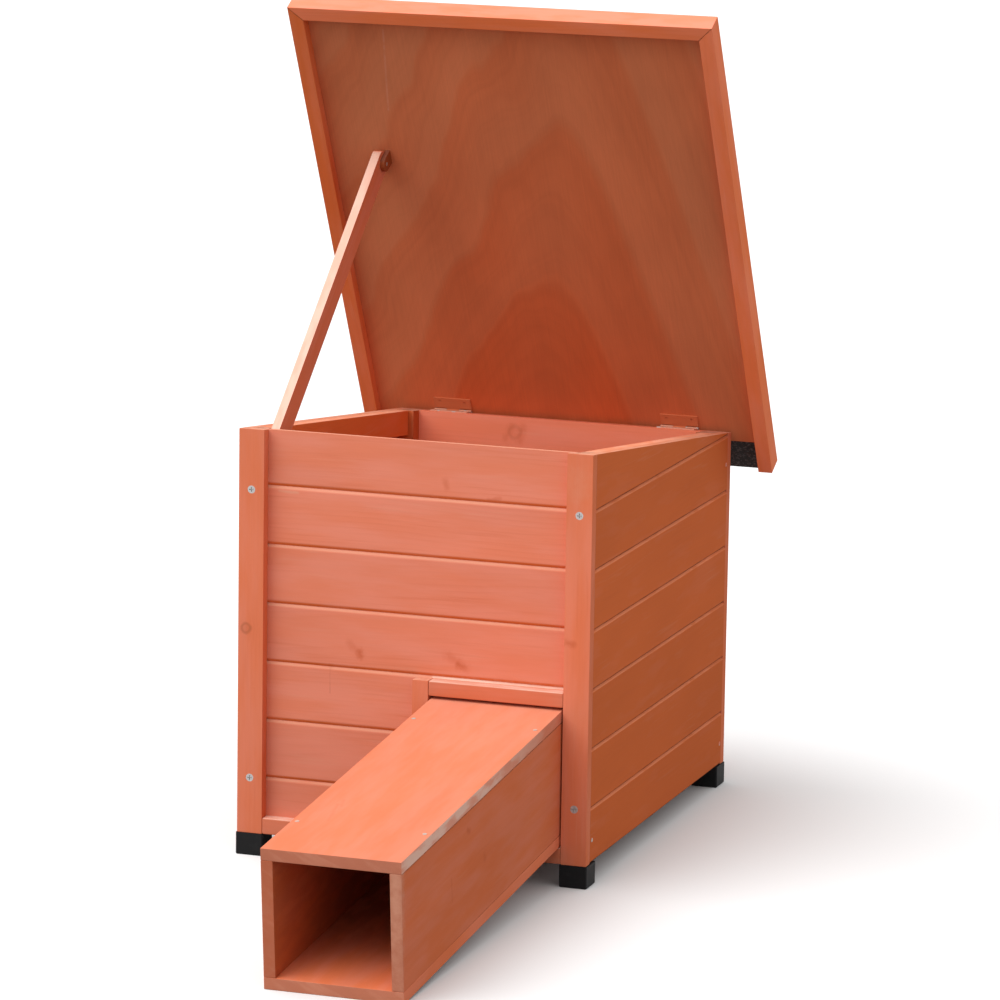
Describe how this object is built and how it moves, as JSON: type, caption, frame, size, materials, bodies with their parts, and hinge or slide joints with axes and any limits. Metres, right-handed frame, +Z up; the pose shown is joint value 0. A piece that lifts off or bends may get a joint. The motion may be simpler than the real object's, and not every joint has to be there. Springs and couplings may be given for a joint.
{
  "type": "hedgehog house",
  "caption": "Boarded wooden hedgehog house on feet, with a sloping hinged lid propped open by a stay and a square entrance tunnel sloping down from its doorway.",
  "frame": {"origin": "on the ground under the middle of the whole object's bounding box, lid propped open, tunnel in", "axes": "+Z up, +Y from the tunnel's mouth to the back of the house, +X to the right seen from the front"},
  "size_m": [0.458, 0.9836, 0.8512],
  "materials": {
    "stained_pine": "translucent stain",
    "stained_plywood": "translucent stain",
    "roof_felt": "mineral felt",
    "zinc_steel": "zinc plated",
    "stained_hinge": "stained over",
    "black_plastic": "moulded"
  },
  "bodies": {
    "house": {"back_boards": "stained_pine", "back_bottom_rail": "stained_pine", "back_left_batten": "stained_pine", "back_left_stile": "stained_pine", "back_right_batten": "stained_pine", "back_right_stile": "stained_pine", "back_top_rail": "stained_pine", "corner_screws": "zinc_steel", "door_header": "stained_pine", "door_jamb": "stained_pine", "doorway_strips": "stained_pine", "floor_battens": "stained_pine", "floor_panel": "stained_plywood", "foot_caps": "black_plastic", "front_board_1": "stained_pine", "front_board_2": "stained_pine", "front_board_3": "stained_pine", "front_board_4": "stained_pine", "front_board_5": "stained_pine", "front_board_6": "stained_pine", "front_board_7": "stained_pine", "front_bottom_rail": "stained_pine", "front_left_batten": "stained_pine", "front_left_stile": "stained_pine", "front_right_batten": "stained_pine", "front_right_stile": "stained_pine", "hinge_pins": "zinc_steel", "hinge_wall_leaves": "stained_hinge", "hinge_wall_screws": "zinc_steel", "left_board_1": "stained_pine", "left_board_2": "stained_pine", "left_board_3": "stained_pine", "left_board_4": "stained_pine", "left_board_5": "stained_pine", "left_board_6": "stained_pine", "left_board_7": "stained_pine", "right_board_1": "stained_pine", "right_board_2": "stained_pine", "right_board_3": "stained_pine", "right_board_4": "stained_pine", "right_board_5": "stained_pine", "right_board_6": "stained_pine", "right_board_7": "stained_pine", "side_nails": "zinc_steel", "side_top_rails": "stained_pine"},
    "lid": {"lid_front_rail": "stained_pine", "lid_left_rail": "stained_pine", "lid_panel": "stained_plywood", "lid_right_rail": "stained_pine", "roof_felt": "roof_felt", "hinge_lid_leaves": "stained_hinge", "hinge_lid_screws": "zinc_steel", "stay_cleat": "stained_pine", "stay_pivot_screw": "zinc_steel"},
    "stay": {"stay": "stained_pine"},
    "tunnel": {"tunnel_bottom": "stained_pine", "tunnel_left_side": "stained_pine", "tunnel_nails": "zinc_steel", "tunnel_right_side": "stained_pine", "tunnel_top": "stained_pine"}
  },
  "joints": [
    {"name": "lid_hinge", "type": "hinge", "parent": "house", "child": "lid", "pos_m": [0, 0.45359, 0.38344], "axis": [1, 0, 0], "range_deg": [0, 55.7]},
    {"name": "stay_pivot", "type": "hinge", "parent": "lid", "child": "stay", "pos_m": [0, 0.28966, 0.67201], "axis": [1, 0, 0], "range_deg": [0, 27.85]},
    {"name": "tunnel_slide", "type": "slide", "parent": "house", "child": "tunnel", "axis": [0, -1, 0], "range_m": [0, 0.06]}
  ],
  "couplings": [
    {"joint": "stay_pivot", "follows": "lid_hinge", "ratio": 0.5}
  ]
}
